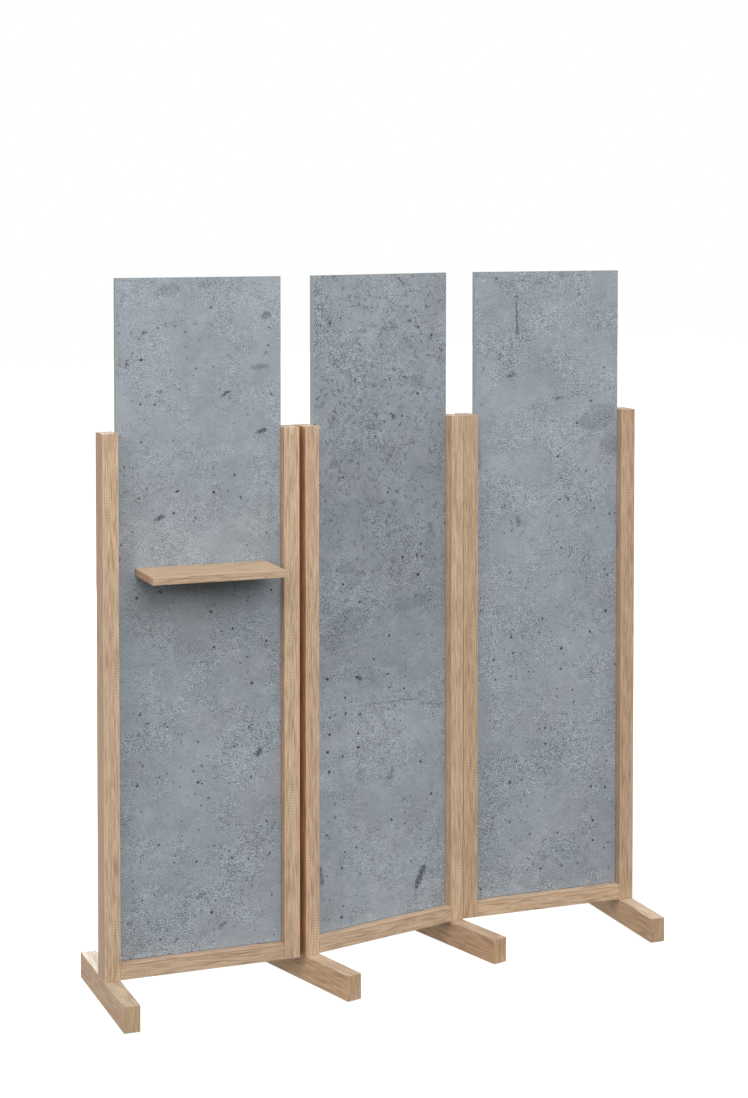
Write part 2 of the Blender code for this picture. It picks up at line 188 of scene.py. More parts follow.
class Graph:
    """One material, with short calls that add its nodes."""

    def __init__(self, name):
        self.material = bpy.data.materials.new(name)
        self.material.use_nodes = True
        self.tree = self.material.node_tree
        self.shader = self.tree.nodes["Principled BSDF"]

    def add(self, kind, **settings):
        node = self.tree.nodes.new(kind)
        for key, value in settings.items():
            setattr(node, key, value)
        return node

    def feed(self, socket, value):
        """Link a socket, or set it to a constant."""
        if isinstance(value, bpy.types.NodeSocket):
            self.tree.links.new(value, socket)
        elif socket.type == "RGBA":
            socket.default_value = (*value, 1.0)
        else:
            socket.default_value = value

    def math(self, operation, *values):
        node = self.add("ShaderNodeMath", operation=operation)
        for socket, value in zip(node.inputs, values):
            self.feed(socket, value)
        return node.outputs[0]

    def vector(self, operation, *values):
        node = self.add("ShaderNodeVectorMath", operation=operation)
        for socket, value in zip(node.inputs, values):
            self.feed(socket, value)
        return node.outputs["Value" if operation == "LENGTH" else "Vector"]

    def split(self, place):
        """The three parts of a vector."""
        node = self.add("ShaderNodeSeparateXYZ")
        self.feed(node.inputs[0], place)
        return node.outputs[0], node.outputs[1], node.outputs[2]

    def join(self, x, y, z):
        node = self.add("ShaderNodeCombineXYZ")
        for socket, value in zip(node.inputs, (x, y, z)):
            self.feed(socket, value)
        return node.outputs[0]

    def noise(self, place, scale, detail=2.0, roughness=0.5, distortion=0.0):
        """Smooth noise around 0.5. scale is one number, or one for each direction."""
        if not isinstance(scale, (int, float)):
            place = self.vector("MULTIPLY", place, scale)
            scale = 1.0
        node = self.add("ShaderNodeTexNoise")
        self.feed(node.inputs["Vector"], place)
        node.inputs["Scale"].default_value = scale
        node.inputs["Detail"].default_value = detail
        node.inputs["Roughness"].default_value = roughness
        node.inputs["Distortion"].default_value = distortion
        return node.outputs["Fac"]

    def step(self, value, low, high, to_low=0.0, to_high=1.0):
        """A smooth step from to_low at low to to_high at high."""
        node = self.add("ShaderNodeMapRange", interpolation_type="SMOOTHSTEP")
        for socket, setting in zip(node.inputs, (value, low, high, to_low, to_high)):
            self.feed(socket, setting)
        return node.outputs[0]

    def total(self, start, *terms):
        """start plus each (weight, value) pair, where value is centred on 0.5."""
        result = start
        for weight, value in terms:
            centred = self.math("MULTIPLY_ADD", value, weight, -0.5 * weight)
            result = self.math("ADD", centred, result)
        return result

    def blend(self, factor, first, second, mode="MIX"):
        node = self.add("ShaderNodeMix", data_type="RGBA", blend_type=mode)
        self.feed(node.inputs[0], factor)
        self.feed(node.inputs[6], first)
        self.feed(node.inputs[7], second)
        return node.outputs[2]

    def either(self, factor, first, second):
        """A vector that is first where factor is 0 and second where it is 1."""
        node = self.add("ShaderNodeMix", data_type="VECTOR")
        self.feed(node.inputs[0], factor)
        self.feed(node.inputs[4], first)
        self.feed(node.inputs[5], second)
        return node.outputs[1]

    def ramp(self, value, *stops):
        """Colours along a value, as (position, colour) pairs."""
        node = self.add("ShaderNodeValToRGB")
        set_stops(node, stops)
        self.feed(node.inputs[0], value)
        return node.outputs[0]

    def own_place(self):
        """The surface point in the object's own frame, in metres."""
        return self.add("ShaderNodeTexCoord").outputs["Object"]

    def place(self, matrix):
        """The surface point in the frame that matrix leads to, in metres."""
        node = self.add("ShaderNodeMapping", vector_type="POINT")
        self.feed(node.inputs["Vector"], self.own_place())
        node.inputs["Location"].default_value = matrix.to_translation()
        node.inputs["Rotation"].default_value = matrix.to_euler()
        return node.outputs[0]

    def facing(self, matrix, axis):
        """1 where the surface faces along one axis of the frame that matrix leads to, either way."""
        source = self.add("ShaderNodeTexCoord")
        node = self.add("ShaderNodeMapping", vector_type="NORMAL")
        self.feed(node.inputs["Vector"], source.outputs["Normal"])
        node.inputs["Rotation"].default_value = matrix.to_euler()
        cosine = self.math("ABSOLUTE", self.split(node.outputs[0])["XYZ".index(axis)])
        return self.step(cosine, *FACING)

    def off_middle(self, value):
        """How far a value is from 0.5, which is small along the lines where a noise crosses 0.5."""
        return self.math("ABSOLUTE", self.math("SUBTRACT", value, 0.5))

    def relief(self, height, strength, distance=SURFACE_GRAIN):
        """Bump the surface with a height between 0 and 1."""
        node = self.add("ShaderNodeBump")
        node.inputs["Strength"].default_value = strength
        node.inputs["Distance"].default_value = distance
        self.feed(node.inputs["Height"], height)
        self.tree.links.new(node.outputs[0], self.shader.inputs["Normal"])

    def finish(self, colour, roughness, **constants):
        """Feed the shader and return the material. constants are the shader's other settings."""
        self.feed(self.shader.inputs["Base Color"], colour)
        self.feed(self.shader.inputs["Roughness"], roughness)
        for name, value in constants.items():
            self.shader.inputs[name.replace("_", " ")].default_value = value
        return self.material


def spread(along, across, lengthwise):
    """Noise scales for the three directions, with another one along the grain."""
    return tuple(lengthwise if axis == along else across for axis in "XYZ")


class Grain:
    """Noise drawn out along a piece's grain, and along end_grain on the two faces across the grain."""

    def __init__(self, graph, place, along, end_grain, at_end):
        self.graph = graph
        self.place = place
        self.along = along
        self.end_grain = end_grain
        self.at_end = at_end

    def noise(self, across, lengthwise, detail=2.0, roughness=0.5):
        lay = self.graph.vector("MULTIPLY", self.place, spread(self.along, across, lengthwise))
        turned = self.graph.vector("MULTIPLY", self.place, spread(self.end_grain, across, lengthwise))
        return self.graph.noise(self.graph.either(self.at_end, lay, turned), 1.0, detail, roughness)


def growth_rings(graph, place, along, seed):
    """Saw-toothed rings about a distant, slightly leaning tree axis, which make cathedral figures."""
    parts = dict(zip("XYZ", graph.split(place)))
    lengthwise = parts.pop(along)
    near, far = parts.values()
    wander = graph.noise(place, spread(along, 10.0, 2.5), 2.0)
    away = RING_DISTANCE * (1.0 + 0.3 * (seed % 3))
    aside = 0.012 * ((seed * 7) % 5 - 2)
    radius = graph.vector("LENGTH", graph.join(graph.math("SUBTRACT", near, aside),
                                               graph.math("SUBTRACT", far, away), 0.0))
    leaning = graph.math("MULTIPLY_ADD", lengthwise, RING_LEAN, radius)
    wavy = graph.math("MULTIPLY_ADD", wander, RING_WANDER, leaning)
    share = graph.math("FRACT", graph.math("DIVIDE", wavy, RING_WIDTH))
    return graph.math("MULTIPLY", graph.step(share, 0.15, 0.85), graph.step(share, 1.0, 0.88))


def saw_marks(graph, place, along):
    """Short pale strokes across the grain, in combs of a few at a time."""
    lengthwise = graph.split(place)["XYZ".index(along)]
    wobble = graph.math("MULTIPLY", graph.noise(place, spread(along, 50.0, 20.0), 1.0), 1.6)
    share = graph.math("FRACT", graph.math("MULTIPLY_ADD", lengthwise, 1 / SAW_PITCH, wobble))
    strokes = graph.math("MULTIPLY", graph.step(share, 0.0, 0.2), graph.step(share, 0.5, 0.3))
    combs = graph.noise(place, spread(along, 48.0, 10.0), 2.0)
    return graph.math("MULTIPLY", strokes, graph.step(combs, 0.56, 0.61))


def arris_light_and_shade(graph, colour, x, half_width, front, paints):
    """Thin lines along the front's left and right edges, in the given colours: a pale colour paints a
    highlight on the rounded edge, a dark one paints shade in a seam.
    """
    begins, full = ARRIS_LIGHT_AND_SHADE_LINE
    for side, paint in zip((-1.0, 1.0), paints):
        line = graph.step(graph.math("MULTIPLY", x, side), half_width - begins, half_width - full)
        line = graph.math("MULTIPLY", line, front)
        colour = graph.blend(graph.math("MULTIPLY", line, 0.65), colour, paint)
    return colour


def ledge_shade_line(graph, colour, z, half_height, front, paint):
    """Painted shade: a dark line just below the front's top edge."""
    begins, full, fades, ends = LEDGE_SHADE_LINE
    line = graph.math("MULTIPLY", graph.step(z, half_height - begins, half_height - full), front)
    line = graph.math("MULTIPLY", line, graph.step(z, half_height - ends, half_height - fades))
    return graph.blend(graph.math("MULTIPLY", line, 0.85), colour, paint)


def gap_shade(graph, colour, x, y, half):
    """Painted light and shade on the left side in the hinge gap: lighter and warmer at the front, it darkens
    and reddens from the front to the back.
    """
    outside = graph.step(x, 0.0012 - half.x, 0.0004 - half.x)
    depth = graph.step(y, -half.y, GAP_DEPTH - half.y)
    shade = graph.blend(depth, (1.18, 1.05, 0.95), (0.74, 0.48, 0.33))
    return graph.blend(outside, colour, shade, "MULTIPLY")


def oak(node, along, end_grain, seed, tone, faces, arrises=(), ledge=False, shaded_left=False):
    """Pale oak decor of one piece.

    The grain runs along one axis of the node's frame, and along end_grain on the two end faces.
    tone multiplies the colour, and faces are painted light and shade: tints of the faces towards X,
    Y and Z. arrises, ledge and shaded_left choose the painted highlight and shade lines along the
    front's edges, the painted shade line below a rail's top and the painted shade in the hinge gap.
    """
    graph = Graph(node)
    low, high, space = local_box(node)
    matrix = Matrix.Translation(-(low + high) / 2) @ space
    half = (high - low) / 2
    here = graph.place(matrix)
    shifted = graph.vector("ADD", here, (seed * 0.37, seed * 0.61, seed * 1.13))
    drift = graph.noise(shifted, spread(along, 9.0, 1.8), 2.0)
    sway = graph.math("MULTIPLY_ADD", drift, 0.016, -0.008)
    sway = graph.join(sway, sway, sway)
    swayed = graph.vector("ADD", shifted, sway)
    grain = Grain(graph, swayed, along, end_grain, graph.facing(matrix, along))

    bands = grain.noise(24.0, 1.0, 2.0, 0.55)
    streaks = grain.noise(170.0, 5.0, 3.0, 0.6)
    strands = grain.noise(340.0, 16.0, 1.0, 0.6)
    fibres = grain.noise(640.0, 22.0, 2.0, 0.7)
    rings = growth_rings(graph, graph.vector("ADD", here, sway), along, seed)
    patches = graph.noise(shifted, spread(along, 16.0, 5.0), 2.0)
    figure = graph.math("MULTIPLY", rings, graph.step(patches, 0.35, 0.6))
    value = graph.total(0.55, (0.30, bands), (0.48, streaks), (1.75, strands), (1.10, fibres))
    value = graph.math("MULTIPLY_ADD", figure, -0.07, value)
    stops = ((0.10, OAK_DARK), (0.5, OAK_MIDDLE), (0.90, OAK_PALE))
    colour = graph.ramp(value, *((spot, shaded(paint, tone)) for spot, paint in stops))
    sawn = saw_marks(graph, shifted, along)
    colour = graph.blend(graph.math("MULTIPLY", sawn, 0.6), colour, shaded(OAK_SAW_MARK, tone))
    pores = graph.step(graph.noise(swayed, spread(along, 900.0, 48.0), 1.0), 0.62, 0.74)
    colour = graph.blend(graph.math("MULTIPLY", pores, 0.5), colour, OAK_PORE)

    # Painted light and shade: each face is tinted by the way it faces the light
    for axis, face_light in faces.items():
        colour = graph.blend(graph.facing(matrix, axis), colour, face_light, "MULTIPLY")
    x, y, z = graph.split(here)
    front = graph.facing(matrix, "Y")
    colour = arris_light_and_shade(graph, colour, x, half.x, front, [shaded(paint, tone) for paint in arrises])
    if ledge:
        colour = ledge_shade_line(graph, colour, z, half.z, front, shaded(OAK_SHADE_LINE, tone))
    if shaded_left:
        colour = gap_shade(graph, colour, x, y, half)

    height = graph.total(0.5, (0.6, streaks), (0.3, strands), (0.4, fibres))
    height = graph.math("MULTIPLY_ADD", pores, -0.5, height)
    graph.relief(graph.math("MULTIPLY_ADD", sawn, 0.25, height), 0.3)
    return graph.finish(colour, graph.step(streaks, 0.2, 0.8, 0.62, 0.48))


def shaded(colour, factor):
    return tuple(part * factor for part in colour)


def spots(graph, flat, scale, radius, share):
    """Round spots of up to the given radius in a share of the cells of a Voronoi pattern."""
    node = graph.add("ShaderNodeTexVoronoi", voronoi_dimensions="2D")
    graph.feed(node.inputs["Vector"], flat)
    node.inputs["Scale"].default_value = scale
    chance, size, _ = graph.split(node.outputs["Color"])
    reach = graph.math("MULTIPLY", graph.step(chance, 1.0 - share, 1.001 - share),
                       graph.math("MULTIPLY_ADD", size, 0.6 * radius * scale, 0.4 * radius * scale))
    return graph.math("LESS_THAN", node.outputs["Distance"], reach)


def smudges(graph, flat, ragged, marks):
    """Ragged, broken ellipses: across, up, length, thickness, tilt in degrees, darkness of each."""
    shade = 0.0
    for across, up, length, thickness, tilt, darkness in marks:
        node = graph.add("ShaderNodeMapping", vector_type="TEXTURE")
        graph.feed(node.inputs["Vector"], ragged)
        node.inputs["Location"].default_value = (across, up, 0.0)
        node.inputs["Rotation"].default_value = (0.0, 0.0, radians(tilt))
        node.inputs["Scale"].default_value = (length / 2, thickness / 2, 1.0)
        inside = graph.step(graph.vector("LENGTH", node.outputs[0]), 1.12, 0.86, 0.0, 1.6 * darkness)
        shade = graph.math("MAXIMUM", inside, shade)
    broken = graph.step(graph.noise(flat, 150.0, 3.0, 0.7), 0.40, 0.56, 0.45, 1.0)
    return graph.math("MULTIPLY", shade, broken)


def speckled(graph, place, z, cloud, contrast):
    """The decor's tone around 1, from broad clouds down to single grains."""
    clouds = graph.noise(place, 5.0, 4.0, 0.55)
    blotches = graph.noise(place, 21.0, 4.0, 0.6, 0.5)
    mottle = graph.noise(place, 62.0, 4.0, 0.7, 0.3)
    speckle = graph.noise(place, 170.0, 3.0, 0.75)
    grit = graph.noise(place, 340.0, 1.0, 0.6)
    crazing = graph.off_middle(graph.noise(place, 85.0, 2.0, 0.6, 1.0))
    fine = graph.total(0.0, (0.75, mottle), (1.05, speckle), (1.95, grit))
    fine = graph.math("ADD", fine, graph.step(crazing, 0.05, 0.0, -0.04, 0.16))
    region = graph.step(graph.noise(place, 8.0, 5.0, 0.62, 0.4), 0.40, 0.60)
    fine = graph.math("MULTIPLY", fine, graph.math("MULTIPLY_ADD", region, 0.95, 0.35))
    fine = graph.math("MULTIPLY", fine, graph.step(z, 0.65, 1.05, *contrast))
    tone = graph.math("ADD", fine, graph.total(1.01, (cloud, clouds), (0.52, blotches)))
    return tone, region, mottle, speckle


def by_height(graph, z, heights):
    """A value that follows (height above the floor, value) pairs."""
    lowest, highest = heights[0][0], heights[-1][0]
    upward = graph.add("ShaderNodeMapRange")
    for socket, setting in zip(upward.inputs, (z, lowest, highest, 0.0, 1.0)):
        graph.feed(socket, setting)
    stops = [((height - lowest) / (highest - lowest), (value, value, value)) for height, value in heights]
    return graph.ramp(upward.outputs[0], *stops)


def concrete_pores(graph, ragged, place, z):
    """Large and small dark pores, in patches, and more of them low down."""
    large = graph.math("MULTIPLY", spots(graph, ragged, 21.0, 0.0038, 0.34), 0.85)
    small = graph.math("MULTIPLY", spots(graph, ragged, 58.0, 0.0023, 0.24), 0.70)
    porous = graph.math("MULTIPLY_ADD", z, -0.08, graph.noise(place, 7.0, 2.0))
    porous = graph.step(porous, 0.34, 0.44, 0.12, 1.0)
    return graph.math("MULTIPLY", graph.math("MAXIMUM", large, small), porous)


def crackle_lines(graph, place, z, strength):
    """Fine, broken dark lines, mostly in the upper part."""
    ridge = graph.off_middle(graph.noise(place, 22.0, 3.0, 0.5, 1.2))
    broken = graph.step(graph.noise(place, 75.0, 3.0, 0.7), 0.44, 0.56)
    lines = graph.math("MULTIPLY", graph.step(ridge, 0.034, 0.010, 0.0, strength), broken)
    return graph.math("MULTIPLY", lines, graph.step(z, 0.85, 1.15, 0.25, 1.0))


def edge_banding(graph, colour, here, x, z, high):
    """Plain greenish-grey banding round a board's sides and top."""
    begins, full = BANDING
    side = graph.step(graph.math("ABSOLUTE", x), high.x - begins, high.x - full)
    edge = graph.math("MAXIMUM", side, graph.step(z, high.z - begins, high.z - full))
    banding = graph.blend(graph.noise(here, 300.0, 2.0), shaded(BOARD_EDGE, 0.9), shaded(BOARD_EDGE, 1.1))
    return graph.blend(edge, colour, banding)


def frame_contact_shade(graph, board, x, z):
    """Painted shade: the dark line of contact shadow where a board enters its posts and its rail."""
    begins, full = FRAME_SHADE_LINE
    screen = screen_of(board)
    post_low, post_high, _ = local_box(f"{screen}_right_post")
    _, rail_high, _ = local_box(f"{screen}_rail")
    beside = graph.step(graph.math("ABSOLUTE", x), post_low.x - begins, post_low.x - full)
    beside = graph.math("MULTIPLY", beside, graph.step(z, post_high.z, post_high.z - 0.004))
    above = graph.step(z, rail_high.z + begins, rail_high.z + full)
    return graph.math("MULTIPLY", graph.math("MAXIMUM", beside, above), 0.28)


def concrete(node, seed, heights, cloud, contrast, crackle, marks):
    """Concrete decor board.

    heights are (height above the floor, tone) pairs, cloud is the strength of the broad clouds,
    contrast multiplies the speckle in the lower and in the upper half, crackle is the strength of
    the fine dark lines, and marks are the larger blemishes on the front, as for smudges().
    """
    graph = Graph(node)
    low, high, space = local_box(node)
    here = graph.place(space)
    x, y, z = graph.split(here)
    behind = graph.math("GREATER_THAN", y, (low.y + high.y) / 2)
    flat = graph.join(graph.math("MULTIPLY_ADD", behind, BACK_OFFSET, x), z, 0.0)
    shifted = graph.vector("ADD", flat, (seed * 1.7, seed * 2.9, seed * 0.8))
    tone, region, mottle, speckle = speckled(graph, shifted, z, cloud, contrast)
    tone = graph.math("MULTIPLY", tone, by_height(graph, z, heights))
    pale = graph.step(graph.noise(shifted, 150.0, 2.0, 0.7, 0.5), 0.60, 0.68)
    tone = graph.math("MULTIPLY_ADD", pale, 0.11, tone)

    jitter = graph.math("MULTIPLY_ADD", graph.noise(shifted, 130.0, 3.0, 0.75), 0.017, -0.0085)
    lurch = graph.math("MULTIPLY_ADD", graph.noise(shifted, 210.0, 2.0, 0.75), 0.013, -0.0065)
    tear = graph.join(jitter, lurch, 0.0)
    torn = graph.vector("MULTIPLY_ADD", tear, (1.7, 1.7, 0.0), flat)
    flakes = graph.step(graph.noise(shifted, 82.0, 4.0, 0.75, 0.4), 0.57, 0.62)
    flakes = graph.math("MULTIPLY", flakes, graph.math("MULTIPLY_ADD", region, 0.16, 0.05))
    # Dark marks: pores, smudges and, along the frame, painted contact shadow
    dark = [concrete_pores(graph, graph.vector("ADD", shifted, tear), shifted, z),
            smudges(graph, flat, torn, marks),
            frame_contact_shade(graph, node, x, z)]
    if crackle:
        dark.append(crackle_lines(graph, shifted, z, crackle))
    shade = flakes
    for layer in dark:
        shade = graph.math("MAXIMUM", shade, layer)
    tone = graph.math("MULTIPLY", tone, graph.math("SUBTRACT", 1.0, shade))

    paper = graph.blend(graph.step(graph.noise(shifted, 6.0, 3.0), 0.3, 0.7), CONCRETE_WARM, CONCRETE_COOL)
    colour = graph.blend(1.0, paper, graph.join(tone, tone, tone), "MULTIPLY")
    colour = edge_banding(graph, colour, here, x, z, high)
    height = graph.total(0.6, (0.6, speckle), (0.3, mottle))
    graph.relief(graph.math("SUBTRACT", height, shade), 0.35)
    return graph.finish(colour, graph.step(speckle, 0.2, 0.8, 0.56, 0.72), Specular_IOR_Level=0.15)


def beech(name):
    """Plain beech of the hidden dowels and splines, with its short dark rays."""
    graph = Graph(name)
    here = graph.own_place()
    bands = graph.noise(here, (60.0, 60.0, 4.0), 3.0)
    rays = graph.step(graph.noise(here, (700.0, 700.0, 160.0), 1.0), 0.58, 0.66)
    value = graph.total(0.5, (1.2, bands), (0.5, graph.noise(here, 500.0, 2.0)))
    colour = graph.ramp(value, (0.2, BEECH_DARK), (0.8, BEECH_PALE))
    colour = graph.blend(graph.math("MULTIPLY", rays, 0.5), colour, BEECH_RAY)
    graph.relief(graph.math("SUBTRACT", bands, rays), 0.25)
    return graph.finish(colour, graph.step(bands, 0.2, 0.8, 0.65, 0.50))


def bronze_lacquer(name):
    """Satin bronze-brown lacquer, worn to paler metal in small rubbed patches."""
    graph = Graph(name)
    here = graph.own_place()
    cloud = graph.noise(here, 90.0, 3.0)
    peel = graph.noise(here, 900.0, 2.0)
    worn = graph.step(graph.noise(here, 420.0, 4.0, 0.7), 0.62, 0.70)
    colour = graph.blend(cloud, shaded(LACQUER, 0.8), shaded(LACQUER, 1.2))
    colour = graph.blend(graph.math("MULTIPLY", worn, 0.5), colour, LACQUER_WORN)
    graph.relief(peel, 0.12, 0.0001)
    return graph.finish(colour, graph.step(worn, 0.0, 1.0, 0.42, 0.30), Metallic=0.25)


def bright_zinc(name):
    """Zinc-plated steel with crystalline patches and fine turning marks."""
    graph = Graph(name)
    here = graph.own_place()
    cells = graph.add("ShaderNodeTexVoronoi")
    graph.feed(cells.inputs["Vector"], here)
    cells.inputs["Scale"].default_value = 900.0
    sparkle = graph.split(cells.outputs["Color"])[0]
    marks = graph.noise(here, (200.0, 200.0, 2600.0), 2.0)
    colour = graph.blend(sparkle, ZINC_DARK, ZINC_PALE)
    dull = graph.step(graph.noise(here, 300.0, 3.0), 0.55, 0.7)
    colour = graph.blend(graph.math("MULTIPLY", dull, 0.4), colour, ZINC_DULL)
    graph.relief(marks, 0.15, 0.00005)
    return graph.finish(colour, graph.step(marks, 0.2, 0.8, 0.26, 0.42), Metallic=1.0)


def felt(name):
    """Dark brown felt: matted fibres and lint."""
    graph = Graph(name)
    here = graph.own_place()
    mat = graph.noise(here, 1500.0, 4.0, 0.8, 1.5)
    tufts = graph.noise(here, 260.0, 3.0)
    lint = graph.step(graph.noise(here, (2600.0, 500.0, 900.0), 1.0, 0.5, 2.0), 0.66, 0.74)
    value = graph.total(0.5, (1.4, mat), (0.6, tufts))
    colour = graph.ramp(value, (0.1, FELT_DARK), (0.9, FELT_PALE))
    colour = graph.blend(graph.math("MULTIPLY", lint, 0.5), colour, FELT_LINT)
    graph.relief(mat, 0.8, 0.0003)
    return graph.finish(colour, graph.step(mat, 0.2, 0.8, 0.98, 0.86), Sheen_Weight=0.3)


def dress(node, material):
    """Give a CAD node its material."""
    mesh = frame["nodes"][node].data
    mesh.materials.clear()
    mesh.materials.append(material)


# Decor blemishes on the boards' fronts: across from the middle, height above the floor, length,
# thickness, tilt in degrees, darkness
LEFT_MARKS = (
    (0.173, 1.678, 0.026, 0.020, 20, 0.30),
    (0.155, 1.552, 0.050, 0.014, 5, 0.24),
    (0.068, 1.488, 0.028, 0.008, 30, 0.48),
    (0.078, 1.480, 0.016, 0.005, 70, 0.38),
    (0.160, 1.392, 0.030, 0.011, 15, 0.50),
    (-0.184, 1.568, 0.008, 0.024, 0, 0.46),
    (-0.104, 1.188, 0.030, 0.013, 25, 0.42),
    (-0.140, 1.640, 0.012, 0.010, 0, 0.32),
    (-0.080, 1.745, 0.060, 0.034, 10, 0.14),
    (0.026, 1.735, 0.007, 0.006, 0, 0.50),
    (0.030, 1.700, 0.008, 0.006, 0, 0.45),
    (0.075, 1.580, 0.010, 0.006, 40, 0.36),
    (-0.098, 1.497, 0.009, 0.007, 30, 0.42),
    (0.152, 0.590, 0.026, 0.014, 55, 0.46),
    (-0.028, 0.860, 0.004, 0.020, 0, 0.40),
    (-0.135, 0.686, 0.008, 0.007, 0, 0.50),
    (-0.092, 0.682, 0.007, 0.006, 0, 0.45),
    (-0.148, 0.582, 0.006, 0.010, 0, 0.42),
    (0.005, 0.568, 0.008, 0.007, 0, 0.42),
    (0.000, 0.245, 0.030, 0.012, 30, 0.32),
    (0.055, 0.165, 0.024, 0.010, 45, 0.32),
)
MIDDLE_MARKS = (
    (0.090, 1.653, 0.013, 0.008, 40, 0.48),
    (0.038, 1.408, 0.009, 0.015, 10, 0.50),
    (0.116, 1.497, 0.045, 0.030, 30, 0.14),
    (0.125, 1.535, 0.050, 0.035, 0, 0.08),
    (-0.030, 0.672, 0.100, 0.0040, 1, 0.20),
    (0.068, 0.669, 0.110, 0.0042, -1, 0.36),
    (0.166, 0.646, 0.086, 0.0042, -12, 0.34),
    (0.126, 0.196, 0.070, 0.019, 64, 0.50),
    (-0.190, 0.252, 0.014, 0.052, 8, 0.34),
    (0.013, 0.214, 0.012, 0.006, 30, 0.36),
    (-0.082, 0.362, 0.010, 0.006, -20, 0.34),
    (0.030, 0.475, 0.022, 0.012, 10, 0.26),
    (-0.098, 0.892, 0.110, 0.070, 5, 0.13),
    (0.105, 0.922, 0.150, 0.034, 12, 0.11),
    (-0.160, 0.848, 0.070, 0.050, 0, 0.11),
    (-0.070, 0.745, 0.012, 0.020, 0, 0.40),
    (0.034, 0.485, 0.009, 0.020, -20, 0.34),
    (-0.150, 1.300, 0.030, 0.026, 0, 0.20),
    (-0.110, 1.030, 0.060, 0.030, 0, 0.12),
)
RIGHT_MARKS = (
    (-0.089, 1.662, 0.005, 0.130, 1, 0.50),
    (-0.086, 1.622, 0.009, 0.020, 0, 0.36),
    (-0.104, 1.500, 0.034, 0.007, 14, 0.38),
    (0.034, 1.436, 0.026, 0.007, 15, 0.38),
    (0.012, 1.527, 0.008, 0.007, 0, 0.45),
    (-0.083, 1.112, 0.013, 0.034, 5, 0.26),
    (0.062, 1.165, 0.014, 0.009, -40, 0.40),
    (0.150, 1.380, 0.110, 0.070, 20, 0.15),
    (0.185, 1.305, 0.060, 0.060, 0, 0.16),
    (-0.198, 1.285, 0.014, 0.060, 0, 0.20),
    (-0.185, 1.520, 0.010, 0.014, 20, 0.36),
    (0.130, 1.205, 0.010, 0.006, 40, 0.38),
    (0.066, 1.010, 0.006, 0.014, -25, 0.36),
    (-0.100, 1.020, 0.006, 0.006, 0, 0.42),
)
# The decor of each board, as concrete() takes it
BOARDS = {
    "left_screen_board": {
        "heights": ((0.1, 0.96), (0.6, 0.97), (0.85, 0.93), (1.2, 0.92), (1.5, 0.99), (1.78, 1.0)),
        "cloud": 0.32,
        "contrast": (0.98, 0.72),
        "crackle": 0.0,
        "marks": LEFT_MARKS,
    },
    "middle_screen_board": {
        "heights": ((0.1, 1.08), (0.6, 1.09), (0.85, 0.92), (1.3, 0.90), (1.5, 1.01), (1.78, 1.04)),
        "cloud": 0.45,
        "contrast": (0.90, 0.98),
        "crackle": 0.42,
        "marks": MIDDLE_MARKS,
    },
    "right_screen_board": {
        "heights": ((0.1, 1.0), (0.6, 1.0), (1.1, 1.03), (1.3, 1.03), (1.78, 1.03)),
        "cloud": 0.55,
        "contrast": (1.04, 1.00),
        "crackle": 0.0,
        "marks": RIGHT_MARKS,
    },
}
# Tone of each piece of oak
OAK_TONES = {
    "left_screen_left_post": 0.96,
    "left_screen_right_post": 0.98,
    "middle_screen_left_post": 1.06,
    "middle_screen_right_post": 1.08,
    "right_screen_left_post": 0.90,
    "right_screen_right_post": 0.89,
    "left_screen_rail": 0.93,
    "middle_screen_rail": 1.05,
    "right_screen_rail": 1.10,
    "shelf": 0.84,
    "left_screen_left_foot": 0.88,
    "middle_screen_left_foot": 1.05,
    "middle_screen_right_foot": 0.99,
    "right_screen_right_foot": 1.02,
}
# Painted light and shade: tints of its faces towards X, Y and Z, which shift each face's brightness and
# warmth as the light falls on it: by the last word of a piece's name, or for a single piece
POST_SIDE_SHADE = (0.90, 0.81, 0.77)
POST_TOP_SHADE = (0.80, 0.82, 0.84)
FOOT_TOP_LIGHT = (0.97, 1.02, 1.07)
OAK_FACE_LIGHT = {
    "post": {"X": POST_SIDE_SHADE, "Z": POST_TOP_SHADE},
    "rail": {"Z": (1.05, 1.07, 1.12)},
    "foot": {"X": (0.97, 0.86, 0.75), "Y": (0.90, 0.84, 0.78), "Z": FOOT_TOP_LIGHT},
    "shelf": {"X": (0.92, 0.79, 0.72), "Z": (1.13, 1.14, 1.13)},
    "left_screen_left_post": {"X": (0.80, 0.68, 0.63), "Z": POST_TOP_SHADE},
    "left_screen_right_post": {"X": (1.03, 0.85, 0.75), "Z": POST_TOP_SHADE},
    "middle_screen_left_post": {"X": POST_SIDE_SHADE, "Y": (0.99, 0.96, 0.93), "Z": POST_TOP_SHADE},
    "middle_screen_right_post": {"X": (1.00, 0.90, 0.80), "Z": POST_TOP_SHADE},
    "right_screen_left_post": {"X": POST_SIDE_SHADE, "Y": (1.0, 0.96, 0.93), "Z": POST_TOP_SHADE},
    "right_screen_right_post": {"X": (0.98, 0.89, 0.87), "Y": (1.0, 0.96, 0.93), "Z": POST_TOP_SHADE},
    "left_screen_left_foot": {"X": (0.97, 0.86, 0.75), "Y": (0.95, 0.92, 0.85), "Z": (0.94, 1.03, 1.10)},
    "middle_screen_right_foot": {"X": (0.95, 0.81, 0.70), "Y": (1.01, 0.92, 0.81), "Z": FOOT_TOP_LIGHT},
    "right_screen_right_foot": {"X": (1.03, 0.91, 0.75), "Y": (0.83, 0.77, 0.70), "Z": FOOT_TOP_LIGHT},
}


